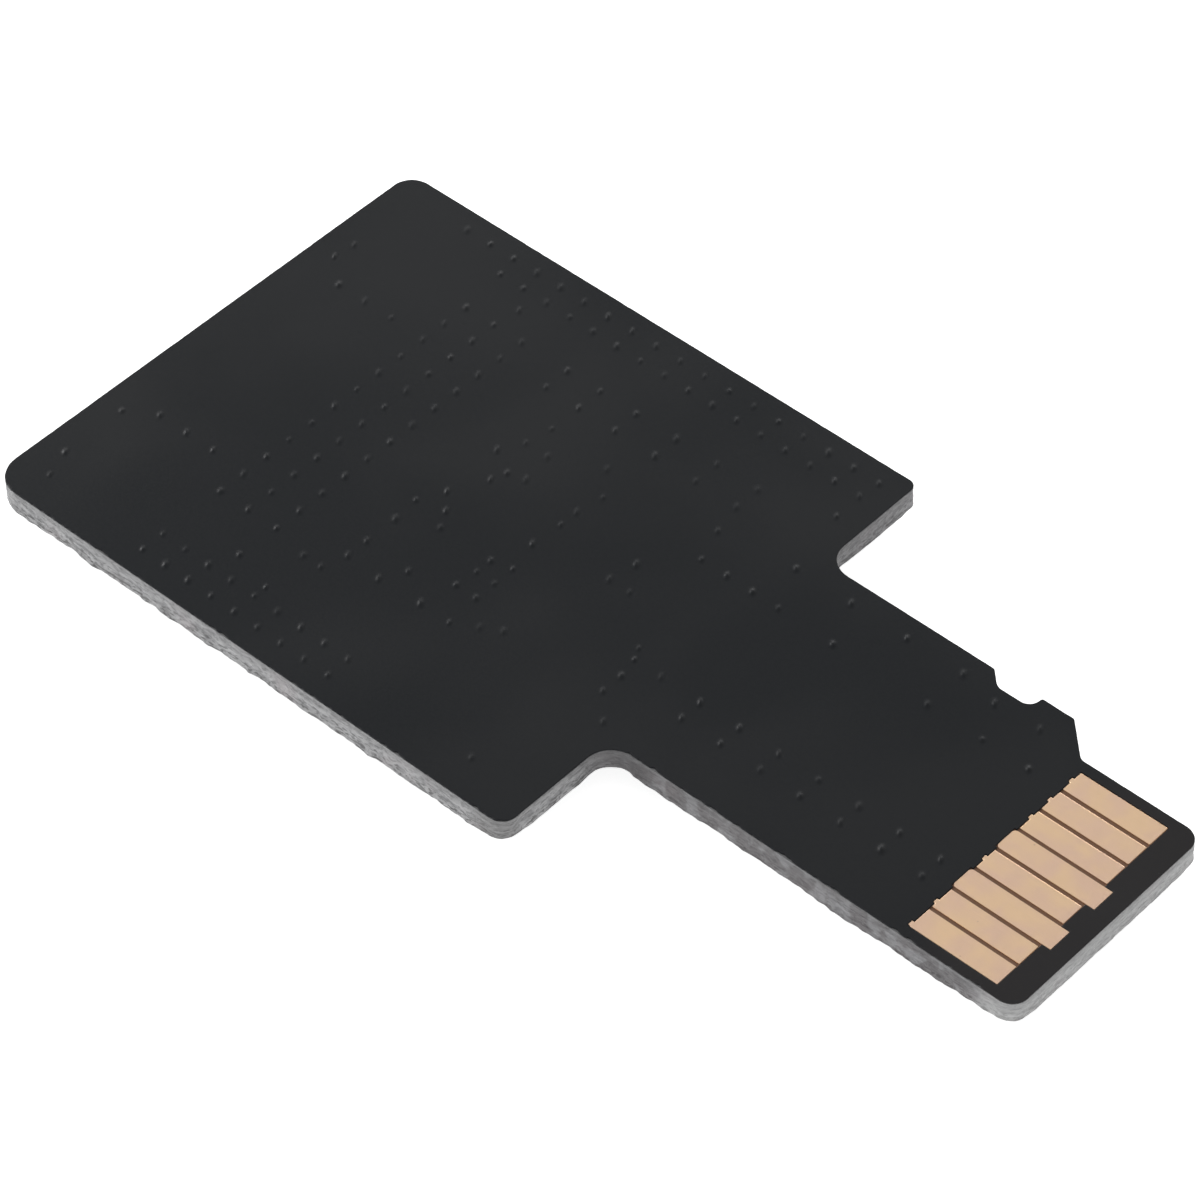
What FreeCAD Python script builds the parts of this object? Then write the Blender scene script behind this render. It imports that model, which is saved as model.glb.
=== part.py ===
# Adapter board for plug-on flash memory modules. The module plugs onto two narrow
# sockets on the component side, and the notched tongue goes into a card slot.
# Millimetres. +Z is up, with the eight card contacts on top, as the board lies in use
# on a bench: it rests on the mating faces of its two sockets, at z = 0.
# +X runs along the board to the nose of the tongue, and +Y to the tongue's notched side.
# The origin is under the middle of the board's outline.
import FreeCAD
import Part
import Sketcher
import math
import os
import re

Vector = FreeCAD.Vector
TOUCH = 1e-6  # how near two places are the same place
DIMPLE_SIDES = 8

doc = FreeCAD.newDocument("adapter_board")
sheet = doc.addObject("Spreadsheet::Sheet", "Sizes")

# Driving dimensions
SIZES = {
    # outline of the board
    "board_length": 40.25,
    "board_width": 20.7,
    "tongue_length": 16.75,
    "tongue_width": 10.8,
    "tongue_offset": 0.065,
    "rear_left_radius": 1.15,
    "rear_right_radius": 0.85,
    "shoulder_left_radius": 0.6,
    "shoulder_right_radius": 0.35,
    "inner_radius": 1.0,
    "nose_radius": 0.65,
    # slanted lead-in, ear and notch on the tongue's right side
    "nose_run": 4.93,
    "lead_in": 1.25,
    "lead_in_radius": 0.15,
    "lead_in_front_radius": 0.35,
    "ear_length": 1.34,
    "ear_tip_radius": 0.1,
    "notch_depth": 0.57,
    "notch_floor": 1.4,
    "notch_radius": 0.45,
    # layers, counted from the pads that the sockets stand on
    "laminate_thickness": 0.8,
    "mask_thickness": 0.05,
    "copper_thickness": 0.04,
    # the eight card contacts
    "contact_margin": 0.45,
    "contact_pitch": 1.1,
    "contact_gap": 0.15,
    "contact_inset": 1.055,
    "contact_length": 3.505,
    "long_contact_lead": 0.35,
    "long_contact_radius": 0.15,
    "trace_width": 0.2,
    "trace_stub": 0.085,
    "window_margin": 0.02,
    # tented vias
    "via_diameter": 0.34,
    "via_dimple_depth": 0.035,
    "socket_end_via_gap": 0.21,
    # module sockets
    "rear_socket_inset": 3.65,
    "front_socket_inset": 6.15,
    "socket_height": 1.0,
    "socket_length": 8.4,
    "socket_width": 2.3,
    "socket_corner_radius": 0.2,
    "socket_edge_chamfer": 0.1,
    "socket_floor": 0.15,
    "socket_seat_gap": 0.02,
    "island_length": 6.3,
    "island_width": 0.4,
    "slot_length": 7.2,
    "slot_width": 1.4,
    "lead_pitch": 0.4,
    "lead_count": 15,
    "lead_width": 0.16,
    "lead_sheet": 0.08,
    "lead_span": 3.2,
    "lead_rise": 0.7,
    "lead_bump": 0.1,
    "lead_slot_clearance": 0.05,
    "lead_end_clearance": 0.06,
    "lead_pad_width": 0.22,
    "lead_pad_heel_x": 0.95,
    "lead_pad_toe": 0.3,
    "lead_solder_margin": 0.06,
    "hold_down_width": 1.2,
    "hold_down_foot": 0.45,
    "hold_down_rise": 0.55,
    "hold_down_pad_inside": 0.1,
    "hold_down_pad_toe": 0.25,
    "pad_window_margin": 0.05,
    # chip parts
    "resistor_length": 1.0,
    "resistor_width": 0.5,
    "resistor_height": 0.35,
    "small_cap_length": 1.0,
    "small_cap_width": 0.5,
    "small_cap_height": 0.5,
    "bulk_cap_length": 2.0,
    "bulk_cap_width": 1.25,
    "bulk_cap_height": 0.8,
    "end_band": 0.24,
    "bulk_end_band": 0.42,
    "end_plating": 0.02,
    "cap_edge_bevel": 0.06,
    "chip_pad_toe": 0.3,
    "chip_pad_side": 0.06,
    "solder_height": 0.22,
    "solder_toe": 0.24,
    "front_row_inset": 1.55,
    "front_row_pitch": 1.2,
    "capacitor_pitch": 1.4,
}

# Places that follow from the driving dimensions
PLACES = {
    "nose_x": "board_length / 2",
    "rear_x": "-board_length / 2",
    "wide_left": "-board_width / 2",
    "wide_right": "board_width / 2",
    "shoulder_x": "nose_x - tongue_length",
    "tongue_left": "tongue_offset - tongue_width / 2",
    "tongue_right": "tongue_offset + tongue_width / 2",
    "nose_right": "tongue_right - lead_in",
    "lead_in_x": "nose_x - nose_run",
    "ear_front_x": "lead_in_x - lead_in",
    "notch_front_x": "ear_front_x - ear_length",
    "notch_floor_y": "tongue_right - notch_depth",
    "notch_rear_x": "notch_front_x - notch_floor",
    "notch_end_x": "notch_rear_x - notch_depth",
    "laminate_bottom": "socket_height + copper_thickness",
    "laminate_top": "laminate_bottom + laminate_thickness",
    "lower_mask_bottom": "laminate_bottom - mask_thickness",
    "top_face": "laminate_top + mask_thickness",
    "contact_front": "nose_x - contact_inset",
    "contact_rear": "contact_front - contact_length",
    "long_contact_front": "contact_front + long_contact_lead",
    "trace_end": "contact_rear - trace_stub",
    "window_front": "contact_front + window_margin",
    "long_window_front": "long_contact_front + window_margin",
    "window_rear": "contact_rear - window_margin",
    "window_trace_end": "trace_end - window_margin",
    "rear_socket_x": "rear_x + rear_socket_inset",
    "front_socket_x": "shoulder_x - front_socket_inset",
    "housing_height": "socket_height - lead_sheet - socket_seat_gap",
    "slot_depth": "housing_height - socket_floor",
    "lead_outer_x": "slot_width / 2 - lead_end_clearance",
    "lead_inner_x": "lead_outer_x - lead_sheet",
    "lead_bump_x": "lead_inner_x - lead_bump",
    "lead_toe_x": "lead_span / 2",
    "lead_foot_z": "socket_height - lead_sheet",
    "lead_top_z": "socket_height - lead_rise",
    "bump_low_z": "lead_top_z + lead_sheet",
    "bump_high_z": "bump_low_z + lead_bump",
    "lead_row": "lead_pitch * (lead_count - 1)",
    "lead_gate_end": "lead_row / 2 + lead_width / 2 + lead_slot_clearance",
    "lead_gate_inner": "lead_inner_x - lead_slot_clearance",
    "lead_gate_outer": "lead_outer_x + lead_slot_clearance",
    "lead_pad_toe_x": "lead_toe_x + lead_pad_toe",
    "first_pad_low": "-(lead_row + lead_pad_width) / 2",
    "first_pad_high": "-(lead_row - lead_pad_width) / 2",
    "solder_toe_x": "lead_toe_x + lead_pad_toe - lead_solder_margin",
    "half_socket_width": "socket_width / 2",
    "half_socket_length": "socket_length / 2",
    "half_slot_width": "slot_width / 2",
    "half_slot_length": "slot_length / 2",
    "half_island_width": "island_width / 2",
    "half_island_length": "island_length / 2",
    "hold_down_outer_y": "half_socket_length + lead_sheet",
    "hold_down_toe_y": "half_socket_length + hold_down_foot",
    "hold_down_top_z": "socket_height - hold_down_rise",
    "hold_down_pad_heel_y": "half_socket_length - hold_down_pad_inside",
    "hold_down_pad_toe_y": "hold_down_toe_y + hold_down_pad_toe",
    "hold_down_pad_side": "hold_down_width / 2 + chip_pad_side",
    "gang_end": "(lead_row + lead_pad_width) / 2 + pad_window_margin",
    "end_window_near": "hold_down_pad_heel_y - pad_window_margin",
    "end_window_far": "hold_down_pad_toe_y + pad_window_margin",
    "front_row_x": "shoulder_x - front_row_inset",
    "capacitor_row_x": "(rear_socket_x + front_socket_x) / 2",
}

# The card contacts from the left edge of the tongue: name, long or not, and how far the
# trace that leaves the contact lies from its middle. The supply pair makes contact first.
CONTACTS = (
    ("contact_data_1", False, -0.34),
    ("contact_data_0", False, -0.21),
    ("contact_ground", True, 0.0),
    ("contact_clock", False, 0.01),
    ("contact_supply", True, 0.0),
    ("contact_command", False, 0.14),
    ("contact_data_3", False, 0.02),
    ("contact_data_2", False, 0.02),
)
SOCKETS = ("rear_socket", "front_socket")

# Chip parts on the component side, in two rows across the board, one by the shoulder and
# one midway between the sockets: name, kind, cell of the row's place, place in the row
# counted in pitches, and the pitch
FRONT_ROW = (
    "clock_damping_resistor",
    "pull_up_command",
    "pull_up_data_0",
    "pull_up_data_1",
    "pull_up_data_2",
    "pull_up_data_3",
)
DECOUPLING_COUNT = 4
BULK_CAPACITOR_PLACE = -2.75
CHIPS = [
    (name, "resistor", "front_row_x", place - (len(FRONT_ROW) - 1) / 2, "front_row_pitch")
    for place, name in enumerate(FRONT_ROW)
]
CHIPS += [
    ("decoupling_capacitor_%d" % (place + 1), "small_cap", "capacitor_row_x",
     place - (DECOUPLING_COUNT - 1) / 2, "capacitor_pitch")
    for place in range(DECOUPLING_COUNT)
]
CHIPS.append(
    ("bulk_capacitor", "bulk_cap", "capacitor_row_x", BULK_CAPACITOR_PLACE, "capacitor_pitch"))
END_BANDS = {"resistor": "end_band", "small_cap": "end_band", "bulk_cap": "bulk_end_band"}


def add_cell(alias, text):
    """One row of the sheet: the name in column A, the value or formula in column B."""
    add_cell.row += 1
    sheet.set("A%d" % add_cell.row, alias)
    sheet.set("B%d" % add_cell.row, text)
    sheet.setAlias("B%d" % add_cell.row, alias)


add_cell.row = 0
for alias, number in SIZES.items():
    add_cell(alias, str(number))
for alias, formula in PLACES.items():
    add_cell(alias, "=" + formula)
for number, (name, is_long, trace_offset) in enumerate(CONTACTS):
    key = "contact%d_" % number
    add_cell(key + "left", "=tongue_left + contact_margin + %d * contact_pitch" % number)
    add_cell(key + "right", "=%sleft + contact_pitch - contact_gap" % key)
    add_cell(key + "middle", "=(%sleft + %sright) / 2" % (key, key))
    if is_long:
        add_cell(key + "trace_left", "=%sleft" % key)
        add_cell(key + "trace_right", "=%sright" % key)
    else:
        add_cell(key + "trace_left", "=%smiddle + %g - trace_width / 2" % (key, trace_offset))
        add_cell(key + "trace_right", "=%smiddle + %g + trace_width / 2" % (key, trace_offset))
    for side in ("left", "trace_left"):
        add_cell(key + "window_" + side, "=%s%s - window_margin" % (key, side))
    for side in ("right", "trace_right"):
        add_cell(key + "window_" + side, "=%s%s + window_margin" % (key, side))
for number, (name, kind, along, place, pitch) in enumerate(CHIPS):
    key = "chip%d_" % number
    band = END_BANDS[kind]
    add_cell(key + "x", "=" + along)
    add_cell(key + "y", "=%g * %s" % (place, pitch))
    add_cell(key + "pad_low", "=%sy - %s_width / 2 - chip_pad_side" % (key, kind))
    add_cell(key + "pad_high", "=%sy + %s_width / 2 + chip_pad_side" % (key, kind))
    add_cell(key + "pad_outer_left", "=%sx - %s_length / 2 - chip_pad_toe" % (key, kind))
    add_cell(key + "pad_inner_left", "=%sx - %s_length / 2 + %s" % (key, kind, band))
    add_cell(key + "pad_inner_right", "=%sx + %s_length / 2 - %s" % (key, kind, band))
    add_cell(key + "pad_outer_right", "=%sx + %s_length / 2 + chip_pad_toe" % (key, kind))
    for side in ("low", "outer_left", "inner_right"):
        add_cell(key + "window_" + side, "=%spad_%s - pad_window_margin" % (key, side))
    for side in ("high", "inner_left", "outer_right"):
        add_cell(key + "window_" + side, "=%spad_%s + pad_window_margin" % (key, side))
for name in SOCKETS:
    add_cell(name + "_left_out", "=%s_x - lead_pad_toe_x - pad_window_margin" % name)
    add_cell(name + "_left_in", "=%s_x - lead_pad_heel_x + pad_window_margin" % name)
    add_cell(name + "_right_in", "=%s_x + lead_pad_heel_x - pad_window_margin" % name)
    add_cell(name + "_right_out", "=%s_x + lead_pad_toe_x + pad_window_margin" % name)
    add_cell(name + "_end_left", "=%s_x - hold_down_pad_side - pad_window_margin" % name)
    add_cell(name + "_end_right", "=%s_x + hold_down_pad_side + pad_window_margin" % name)
doc.recompute()


def size(alias):
    """The number that a cell of the sheet holds, or its negative for a name after a minus."""
    if alias.startswith("-"):
        return -size(alias[1:])
    return float(sheet.get(alias))


def cell(formula):
    """The expression that reads the cells of a formula from another object of the document."""
    return re.sub(r"[a-z]\w*", r"Sizes.\g<0>", formula)


def plane(body, role):
    """An origin plane or axis of a body, found by its role."""
    return [item for item in body.Origin.OriginFeatures if item.Role == role][0]


def new_body(label):
    """An empty body, which becomes one sub-part and may hold separate solids."""
    body = doc.addObject("PartDesign::Body", label)
    body.Label = label
    body.AllowCompound = True
    return body


def new_sketch(body, name, role="XY_Plane"):
    sketch = body.newObject("Sketcher::SketchObject", name)
    sketch.AttachmentSupport = (plane(body, role), [""])
    sketch.MapMode = "FlatFace"
    return sketch


def add_loop(sketch, corners):
    """A closed loop of straight lines whose corners are pairs of cell names."""
    first = sketch.GeometryCount
    points = [Vector(size(across), size(along), 0) for across, along in corners]
    count = len(points)
    for i in range(count):
        sketch.addGeometry(Part.LineSegment(points[i], points[(i + 1) % count]), False)
    for i in range(count):
        sketch.addConstraint(Sketcher.Constraint("Coincident", first + i, 2, first + (i + 1) % count, 1))
    for i, corner in enumerate(corners):
        for kind, alias in zip(("DistanceX", "DistanceY"), corner):
            place = Sketcher.Constraint(kind, -1, 1, first + i, 1, size(alias))
            index = sketch.addConstraint(place)
            sketch.setExpression("Constraints[%d]" % index, cell(alias))


def rectangle(left, low, right, high):
    return [(left, low), (right, low), (right, high), (left, high)]


def add_pad(body, sketch, length, name="Pad"):
    pad = body.newObject("PartDesign::Pad", name)
    pad.Profile = sketch
    pad.setExpression("Length", cell(length))
    doc.recompute()
    return pad


def add_pocket(body, sketch, depth, name, into_plus=True):
    """A pocket that has to take material away: its direction is set, and its cut is tested."""
    before = body.Shape.Volume
    pocket = body.newObject("PartDesign::Pocket", name)
    pocket.Profile = sketch
    pocket.Reversed = into_plus
    if depth is None:
        pocket.Type = "ThroughAll"
    else:
        pocket.setExpression("Length", cell(depth))
    doc.recompute()
    if not body.Shape.Volume < before:
        raise RuntimeError("%s of %s cuts nothing" % (name, body.Label))
    return pocket


def upright_edges(shape, corners):
    """Names of the upright edges that stand on the given corners."""
    names = []
    for index, edge in enumerate(shape.Edges):
        start, end = edge.Vertexes[0].Point, edge.Vertexes[-1].Point
        if abs(start.z - end.z) < TOUCH or abs(start.x - end.x) + abs(start.y - end.y) > TOUCH:
            continue
        for across, along in corners:
            if abs(start.x - size(across)) + abs(start.y - size(along)) < TOUCH:
                names.append("Edge%d" % (index + 1))
    return names


def round_corners(body, groups):
    """Round the upright edges at each group of corners with that group's radius."""
    for number, (radius, corners) in enumerate(groups):
        base = body.Tip
        fillet = body.newObject("PartDesign::Fillet", "Corner%d" % number)
        fillet.Base = (base, upright_edges(base.Shape, corners))
        fillet.setExpression("Radius", cell(radius))
        doc.recompute()


# Outline of the board, from the rear left corner round by the nose
REAR_LEFT = ("rear_x", "wide_left")
SHOULDER_LEFT = ("shoulder_x", "wide_left")
INNER_LEFT = ("shoulder_x", "tongue_left")
NOSE_LEFT = ("nose_x", "tongue_left")
NOSE_RIGHT = ("nose_x", "nose_right")
LEAD_IN_FRONT = ("lead_in_x", "nose_right")
LEAD_IN_REAR = ("ear_front_x", "tongue_right")
EAR_TIP = ("notch_front_x", "tongue_right")
NOTCH_FRONT = ("notch_front_x", "notch_floor_y")
NOTCH_REAR = ("notch_rear_x", "notch_floor_y")
NOTCH_END = ("notch_end_x", "tongue_right")
INNER_RIGHT = ("shoulder_x", "tongue_right")
SHOULDER_RIGHT = ("shoulder_x", "wide_right")
REAR_RIGHT = ("rear_x", "wide_right")
OUTLINE = [
    REAR_LEFT, SHOULDER_LEFT, INNER_LEFT, NOSE_LEFT, NOSE_RIGHT, LEAD_IN_FRONT, LEAD_IN_REAR,
    EAR_TIP, NOTCH_FRONT, NOTCH_REAR, NOTCH_END, INNER_RIGHT, SHOULDER_RIGHT, REAR_RIGHT,
]
ROUNDED = (
    ("rear_left_radius", [REAR_LEFT]),
    ("rear_right_radius", [REAR_RIGHT]),
    ("shoulder_left_radius", [SHOULDER_LEFT]),
    ("shoulder_right_radius", [SHOULDER_RIGHT]),
    ("inner_radius", [INNER_LEFT, INNER_RIGHT]),
    ("nose_radius", [NOSE_LEFT, NOSE_RIGHT]),
    ("lead_in_radius", [LEAD_IN_REAR, NOTCH_END]),
    ("lead_in_front_radius", [LEAD_IN_FRONT]),
    ("ear_tip_radius", [EAR_TIP]),
    ("notch_radius", [NOTCH_FRONT, NOTCH_REAR]),
)


def board_layer(label, thickness, height):
    """One layer of the board: the whole outline, padded up from the given height."""
    body = new_body(label)
    sketch = new_sketch(body, label + "_outline")
    add_loop(sketch, OUTLINE)
    add_pad(body, sketch, thickness)
    round_corners(body, ROUNDED)
    body.setExpression("Placement.Base.z", cell(height))
    return body


subparts = []


def keep(label, item):
    item.Label = label
    subparts.append(item)


# Glass-epoxy laminate
keep("circuit_board", board_layer("circuit_board", "laminate_thickness", "laminate_bottom"))

# Card contacts: bare gold-plated copper on the laminate
for number, (name, is_long, trace_offset) in enumerate(CONTACTS):
    key = "contact%d_" % number
    body = new_body(name)
    sketch = new_sketch(body, name + "_outline")
    if is_long:
        rear_corners = [("trace_end", key + "left"), ("trace_end", key + "right")]
        add_loop(sketch, rectangle("trace_end", key + "left", "long_contact_front", key + "right"))
    else:
        add_loop(sketch, [
            ("contact_rear", key + "left"),
            ("contact_front", key + "left"),
            ("contact_front", key + "right"),
            ("contact_rear", key + "right"),
            ("contact_rear", key + "trace_right"),
            ("trace_end", key + "trace_right"),
            ("trace_end", key + "trace_left"),
            ("contact_rear", key + "trace_left"),
        ])
    add_pad(body, sketch, "copper_thickness")
    if is_long:
        round_corners(body, [("long_contact_radius", rear_corners)])
    body.setExpression("Placement.Base.z", cell("laminate_top"))
    keep(name, body)


def window_outline():
    """One opening in the mask round all the contacts. It steps out round the long contacts
    at the front, and round every trace at the rear."""
    last = len(CONTACTS) - 1
    corners = [("window_rear", "contact0_window_left"), ("window_front", "contact0_window_left")]
    for number, (name, is_long, trace_offset) in enumerate(CONTACTS):
        key = "contact%d_window_" % number
        if is_long:
            corners += [
                ("window_front", key + "left"),
                ("long_window_front", key + "left"),
                ("long_window_front", key + "right"),
                ("window_front", key + "right"),
            ]
    corners += [
        ("window_front", "contact%d_window_right" % last),
        ("window_rear", "contact%d_window_right" % last),
    ]
    for number in range(last, -1, -1):
        key = "contact%d_window_trace_" % number
        corners += [
            ("window_rear", key + "right"),
            ("window_trace_end", key + "right"),
            ("window_trace_end", key + "left"),
            ("window_rear", key + "left"),
        ]
    return corners


# Solder mask on the contact side, with the window for the contacts
mask_blank = board_layer("contact_side_mask_blank", "mask_thickness", "laminate_top")
window_sketch = new_sketch(mask_blank, "contact_window")
add_loop(window_sketch, window_outline())
add_pocket(mask_blank, window_sketch, None, "ContactWindow")

# Vias, measured from the nose edge and from the middle or a side of the board. Each is a
# plated hole that the mask closes over, and shows as a shallow dimple.
nose = size("nose_x")
middle = size("tongue_offset")
left_edge = size("wide_left")
right_edge = size("wide_right")
end_vias_y = size("half_socket_length") + size("socket_end_via_gap")


def via_block(from_nose, first_y, columns, pitch, rows=1, row_pitch=0.0):
    """Via centres in columns towards the nose and rows towards the left."""
    return [
        (nose - from_nose + i * pitch, first_y - j * row_pitch)
        for j in range(rows) for i in range(columns)
    ]


VIA_BLOCKS = (
    # two rows along the right edge and two along the left
    via_block(from_nose=36.67, first_y=right_edge - 0.84, columns=18, pitch=1.114),
    via_block(from_nose=34.24, first_y=right_edge - 1.75, columns=16, pitch=1.094),
    via_block(from_nose=33.97, first_y=left_edge + 1.98, columns=9, pitch=1.068, rows=2, row_pitch=0.95),
    # the field in front of the rear socket, and its two rows that run on to the front socket
    via_block(from_nose=33.97, first_y=middle + 6.47, columns=3, pitch=1.31, rows=12, row_pitch=1.106),
    via_block(from_nose=29.22, first_y=middle + 6.47, columns=2, pitch=1.52, rows=2, row_pitch=1.09),
    via_block(from_nose=26.04, first_y=middle + 6.47, columns=4, pitch=1.82, rows=2, row_pitch=1.09),
    # over the ends of the rear socket
    via_block(from_nose=38.08, first_y=end_vias_y, columns=3, pitch=1.27, rows=2, row_pitch=2 * end_vias_y),
    # along the tongue
    via_block(from_nose=15.62, first_y=middle - 2.17, columns=7, pitch=1.677, rows=2, row_pitch=0.92),
    via_block(from_nose=18.47, first_y=middle - 2.17, columns=2, pitch=1.16),
    via_block(from_nose=19.84, first_y=middle + 2.74, columns=4, pitch=1.12),
    via_block(from_nose=17.22, first_y=middle + 4.53, columns=4, pitch=2.38),
)
# single vias round the front socket and on the tongue, as they show, x from the nose edge
SINGLE_VIAS = (
    (32.5, 7.6), (17.8, 7.3), (39.2, 5.3), (39.1, 6.2), (39.2, -5.2), (39.2, -7.9), (38.8, -9.0),
    (27.7, 4.0), (25.0, 3.8), (20.3, 4.1), (27.9, 2.9), (26.9, 2.9), (24.2, 2.7), (28.4, 2.0),
    (27.4, 1.4), (26.7, 1.6), (24.4, 1.6), (27.6, 0.8), (24.4, 0.8), (21.3, 1.1), (21.5, 0.0),
    (20.6, 0.0), (28.3, -0.6), (24.5, -0.5), (27.7, -1.3), (28.8, -1.6), (27.3, -2.0), (25.0, -2.0),
    (24.2, -1.8), (25.0, -2.7), (24.2, -2.7), (28.7, -2.7), (25.1, -3.6), (24.2, -3.6), (28.7, -4.1),
    (26.7, -4.2), (22.5, -4.1), (23.2, -4.5), (28.7, -5.0), (27.2, -5.1), (25.4, -5.0), (24.1, -5.0),
    (29.8, -6.0), (29.0, -6.0), (31.4, -7.4), (29.7, -7.9), (19.5, -8.9), (8.5, 4.2), (6.7, 4.3),
    (14.1, 2.7), (10.1, 2.7), (7.8, 2.7), (5.9, 2.7), (18.7, -1.7), (18.3, -3.0), (18.3, -3.9),
    (17.4, -4.9),
)
vias = [centre for block in VIA_BLOCKS for centre in block]
vias += [(nose - from_nose, middle + across) for from_nose, across in SINGLE_VIAS]


def dimple(radius, depth):
    """A pointed hollow with its mouth at z = 0. At this size eight sides stand for round."""
    turns = [2 * math.pi * side / DIMPLE_SIDES for side in range(DIMPLE_SIDES + 1)]
    mouth = Part.makePolygon([Vector(radius * math.cos(turn), radius * math.sin(turn), 0) for turn in turns])
    return Part.makeLoft([mouth, Part.Vertex(0, 0, -depth)], True)


one_dimple = dimple(size("via_diameter") / 2, size("via_dimple_depth"))
dimples = doc.addObject("Part::Feature", "via_dimples")
dimples.Shape = Part.makeCompound([one_dimple.translated(Vector(x, y, 0)) for x, y in vias])
dimples.setExpression("Placement.Base.z", cell("top_face"))
contact_side_mask = doc.addObject("Part::Cut", "contact_side_mask")
contact_side_mask.Base = mask_blank
contact_side_mask.Tool = dimples
keep("contact_side_mask", contact_side_mask)


def socket_housing(label):
    """Moulded socket: a tray with a slot round a central island, open at the floor along
    both rows of leads. Its mating face is at z = 0."""
    body = new_body(label)
    sketch = new_sketch(body, label + "_outline")
    block = rectangle("-half_socket_width", "-half_socket_length", "half_socket_width", "half_socket_length")
    add_loop(sketch, block)
    add_pad(body, sketch, "housing_height")
    round_corners(body, [("socket_corner_radius", block)])
    rim = body.Tip
    mouth = ["Edge%d" % (i + 1) for i, edge in enumerate(rim.Shape.Edges) if edge.BoundBox.ZMax < TOUCH]
    chamfer = body.newObject("PartDesign::Chamfer", "MouthChamfer")
    chamfer.Base = (rim, mouth)
    chamfer.setExpression("Size", cell("socket_edge_chamfer"))
    doc.recompute()
    slot = new_sketch(body, label + "_slot")
    add_loop(slot, rectangle("-half_slot_width", "-half_slot_length", "half_slot_width", "half_slot_length"))
    add_loop(slot, rectangle(
        "-half_island_width", "-half_island_length", "half_island_width", "half_island_length"))
    add_pocket(body, slot, "slot_depth", "Slot")
    gates = new_sketch(body, label + "_lead_gates")
    add_loop(gates, rectangle("lead_gate_inner", "-lead_gate_end", "lead_gate_outer", "lead_gate_end"))
    add_loop(gates, rectangle("-lead_gate_outer", "-lead_gate_end", "-lead_gate_inner", "lead_gate_end"))
    add_pocket(body, gates, None, "LeadGates")
    return body


def repeat_on_both_sides(body, seed):
    """Repeat one lead along its row, and mirror the row to the other side."""
    rows = body.newObject("PartDesign::MultiTransform", "Rows")
    rows.Originals = [seed]
    along = body.newObject("PartDesign::LinearPattern", "AlongRow")
    along.Direction = (plane(body, "Y_Axis"), [""])
    along.setExpression("Length", cell("lead_row"))
    along.setExpression("Occurrences", cell("lead_count"))
    across = body.newObject("PartDesign::Mirrored", "AcrossRows")
    across.MirrorPlane = (plane(body, "YZ_Plane"), [""])
    rows.Transformations = [along, across]
    body.Tip = rows
    doc.recompute()


def lead_rows(label, profile):
    """Strips with one side profile, one for each lead of a socket."""
    body = new_body(label)
    sketch = new_sketch(body, label + "_profile", "XZ_Plane")
    add_loop(sketch, profile)
    pad = add_pad(body, sketch, "lead_width")
    repeat_on_both_sides(body, pad)
    body.setExpression("Placement.Base.y", cell("(lead_width - lead_row) / 2"))
    return body


# A foot on its pad, a riser through the floor, and a spring bump that faces the island
LEAD_PROFILE = [
    ("lead_toe_x", "socket_height"),
    ("lead_inner_x", "socket_height"),
    ("lead_inner_x", "bump_high_z"),
    ("lead_bump_x", "bump_low_z"),
    ("lead_bump_x", "lead_top_z"),
    ("lead_outer_x", "lead_top_z"),
    ("lead_outer_x", "lead_foot_z"),
    ("lead_toe_x", "lead_foot_z"),
]
# The solder that wets a foot's toe
LEAD_SOLDER_PROFILE = [
    ("lead_toe_x", "lead_foot_z"),
    ("solder_toe_x", "socket_height"),
    ("lead_toe_x", "socket_height"),
]
# A tab up the end wall and its foot on the board
HOLD_DOWN_PROFILE = [
    ("half_socket_length", "socket_height"),
    ("half_socket_length", "hold_down_top_z"),
    ("hold_down_outer_y", "hold_down_top_z"),
    ("hold_down_outer_y", "lead_foot_z"),
    ("hold_down_toe_y", "lead_foot_z"),
    ("hold_down_toe_y", "socket_height"),
]


def hold_downs(label):
    """The two metal tabs that hold a socket's ends down on the board."""
    body = new_body(label)
    sketch = new_sketch(body, label + "_profile", "YZ_Plane")
    add_loop(sketch, HOLD_DOWN_PROFILE)
    pad = add_pad(body, sketch, "hold_down_width")
    mirror = body.newObject("PartDesign::Mirrored", "OtherEnd")
    mirror.Originals = [pad]
    mirror.MirrorPlane = (plane(body, "XZ_Plane"), [""])
    body.Tip = mirror
    doc.recompute()
    return body


def socket_pads(label):
    """The copper pads under one socket: one for each lead, and one at each end."""
    body = new_body(label)
    sketch = new_sketch(body, label + "_lead_pad")
    add_loop(sketch, rectangle("lead_pad_heel_x", "first_pad_low", "lead_pad_toe_x", "first_pad_high"))
    pad = add_pad(body, sketch, "copper_thickness")
    repeat_on_both_sides(body, pad)
    ends = new_sketch(body, label + "_end_pads")
    near, far, side = "hold_down_pad_heel_y", "hold_down_pad_toe_y", "hold_down_pad_side"
    add_loop(ends, rectangle("-" + side, near, side, far))
    add_loop(ends, rectangle("-" + side, "-" + far, side, "-" + near))
    add_pad(body, ends, "copper_thickness", "EndPads")
    return body


def place_on_board(label, item, along, height="0"):
    item.setExpression("Placement.Base.x", cell(along))
    item.setExpression("Placement.Base.z", cell(height))
    keep(label, item)


for name in SOCKETS:
    along = name + "_x"
    place_on_board(name + "_housing", socket_housing(name + "_housing"), along)
    place_on_board(name + "_leads", lead_rows(name + "_leads", LEAD_PROFILE), along)
    place_on_board(name + "_solder", lead_rows(name + "_solder", LEAD_SOLDER_PROFILE), along)
    place_on_board(name + "_hold_downs", hold_downs(name + "_hold_downs"), along + " - hold_down_width / 2")
    place_on_board(name + "_pads", socket_pads(name + "_pads"), along, "socket_height")


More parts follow.
